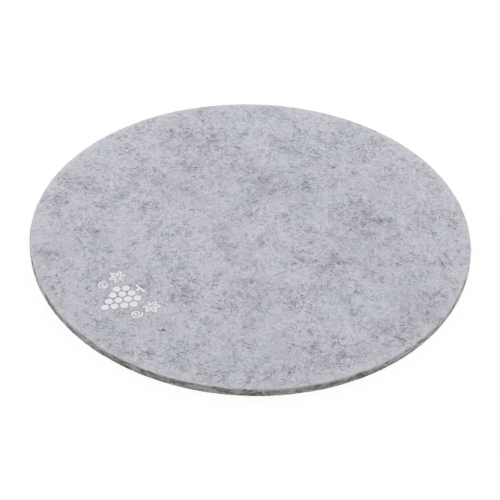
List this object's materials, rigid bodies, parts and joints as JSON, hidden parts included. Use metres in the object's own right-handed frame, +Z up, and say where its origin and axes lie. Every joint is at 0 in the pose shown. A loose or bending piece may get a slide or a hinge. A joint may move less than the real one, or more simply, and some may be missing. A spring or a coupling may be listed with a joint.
{
  "type": "bottle coaster",
  "caption": "Flat round coaster of pale grey melange needle felt with a die-cut edge and a small white print pressed into its face, laid under a bottle to take up drips.",
  "frame": {"origin": "middle of the underside, on the surface that the coaster lies on", "axes": "+Z up, square to the felt; the print lies near the rim on the -Y side and reads along +X"},
  "size_m": [0.1, 0.1, 0.0018],
  "materials": {
    "needle_felt": "matte grey melange needle felt of polyester staple fibre, with a darker cut edge",
    "transfer_film": "matte white heat-transfer film that takes the felt's texture"
  },
  "bodies": {
    "root": {"felt_disc": "needle_felt", "print_stem": "transfer_film", "print_leaf_left": "transfer_film", "print_leaf_right": "transfer_film", "print_tendril_left": "transfer_film", "print_tendril_right": "transfer_film", "print_berry_1": "transfer_film", "print_berry_2": "transfer_film", "print_berry_3": "transfer_film", "print_berry_4": "transfer_film", "print_berry_5": "transfer_film", "print_berry_6": "transfer_film", "print_berry_7": "transfer_film", "print_berry_8": "transfer_film", "print_berry_9": "transfer_film", "print_berry_10": "transfer_film", "print_berry_11": "transfer_film", "print_berry_12": "transfer_film", "print_berry_13": "transfer_film"}
  },
  "joints": []
}
